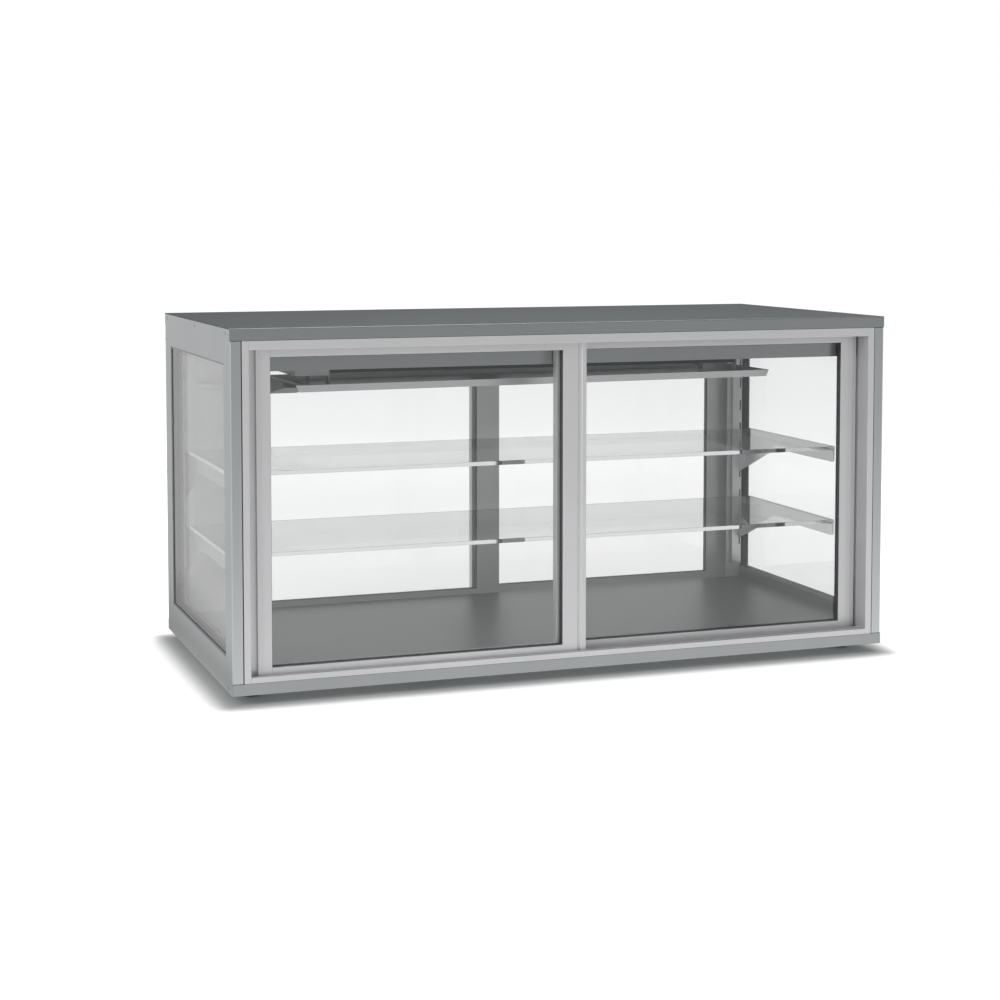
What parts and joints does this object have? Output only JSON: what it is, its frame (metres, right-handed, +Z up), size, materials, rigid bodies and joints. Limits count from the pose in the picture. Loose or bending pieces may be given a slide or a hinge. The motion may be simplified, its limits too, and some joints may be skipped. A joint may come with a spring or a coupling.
{
  "type": "countertop display case",
  "caption": "Low refrigerated glass display case for a counter, with sliding glass doors front and rear, glazed sides, lift-off glass shelves, a ceiling cooling coil and a drip tray.",
  "frame": {"origin": "on the worktop under the middle of the casing, level with the undersides of the feet", "axes": "+X to the right along the front, +Y from the front towards the rear, +Z up"},
  "size_m": [1.3, 0.62, 0.666],
  "materials": {
    "stainless": "brushed stainless sheet",
    "inner_stainless": "fine brushed stainless sheet",
    "frame_aluminium": "satin anodised",
    "fin_aluminium": "bare sheet",
    "copper": "drawn copper tube",
    "glass": "clear polished",
    "rubber": "black extruded seal",
    "spacer_black": "black warm-edge bar",
    "nylon": "moulded nylon",
    "foot_black": "black moulded foot",
    "drain_plastic": "grey rigid pipe",
    "foam": "rigid insulating foam"
  },
  "bodies": {
    "case": {"base_pan": "stainless", "base_insulation": "foam", "floor_panel": "inner_stainless", "feet": "foot_black", "side_frame_left": "stainless", "side_frame_right": "stainless", "side_liner_left": "inner_stainless", "side_liner_right": "inner_stainless", "side_cores": "foam", "side_panes_left": "glass", "side_panes_right": "glass", "side_spacers": "spacer_black", "side_gasket_left": "rubber", "side_gasket_right": "rubber", "side_screws": "stainless", "top_panel": "stainless", "top_insulation": "foam", "ceiling_panel": "inner_stainless", "front_jambs": "frame_aluminium", "front_sill": "frame_aluminium", "front_head": "frame_aluminium", "rear_sill": "frame_aluminium", "rear_head": "frame_aluminium", "rear_jamb_left": "frame_aluminium", "rear_jamb_right": "frame_aluminium", "slotted_uprights": "inner_stainless", "shelf_brackets": "inner_stainless", "evaporator_fins": "fin_aluminium", "evaporator_tubes": "copper", "evaporator_end_plates": "inner_stainless", "header_cover": "inner_stainless", "drip_tray": "inner_stainless", "drain_pipe": "drain_plastic", "refrigerant_lines": "copper"},
    "front_left_door": {"front_left_outer_stile": "frame_aluminium", "front_left_meeting_stile": "frame_aluminium", "front_left_rails": "frame_aluminium", "front_left_glass": "glass", "front_left_gasket": "rubber", "front_left_glides": "nylon"},
    "front_right_door": {"front_right_outer_stile": "frame_aluminium", "front_right_meeting_stile": "frame_aluminium", "front_right_rails": "frame_aluminium", "front_right_glass": "glass", "front_right_gasket": "rubber", "front_right_glides": "nylon"},
    "rear_left_door": {"rear_left_outer_stile": "frame_aluminium", "rear_left_meeting_stile": "frame_aluminium", "rear_left_rails": "frame_aluminium", "rear_left_glass": "glass", "rear_left_gasket": "rubber", "rear_left_glides": "nylon"},
    "rear_right_door": {"rear_right_outer_stile": "frame_aluminium", "rear_right_meeting_stile": "frame_aluminium", "rear_right_rails": "frame_aluminium", "rear_right_glass": "glass", "rear_right_gasket": "rubber", "rear_right_glides": "nylon"},
    "lower_shelf": {"shelf_lower": "glass"},
    "upper_shelf": {"shelf_upper": "glass"}
  },
  "joints": [
    {"name": "front_left_slide", "type": "slide", "parent": "case", "child": "front_left_door", "axis": [1, 0, 0], "range_m": [0, 0.587]},
    {"name": "front_right_slide", "type": "slide", "parent": "case", "child": "front_right_door", "axis": [-1, 0, 0], "range_m": [0, 0.587]},
    {"name": "rear_left_slide", "type": "slide", "parent": "case", "child": "rear_left_door", "axis": [1, 0, 0], "range_m": [0, 0.551]},
    {"name": "rear_right_slide", "type": "slide", "parent": "case", "child": "rear_right_door", "axis": [-1, 0, 0], "range_m": [0, 0.551]},
    {"name": "lower_shelf_lift", "type": "slide", "parent": "case", "child": "lower_shelf", "axis": [0, 0, 1], "range_m": [0, 0.04]},
    {"name": "upper_shelf_lift", "type": "slide", "parent": "case", "child": "upper_shelf", "axis": [0, 0, 1], "range_m": [0, 0.04]}
  ]
}
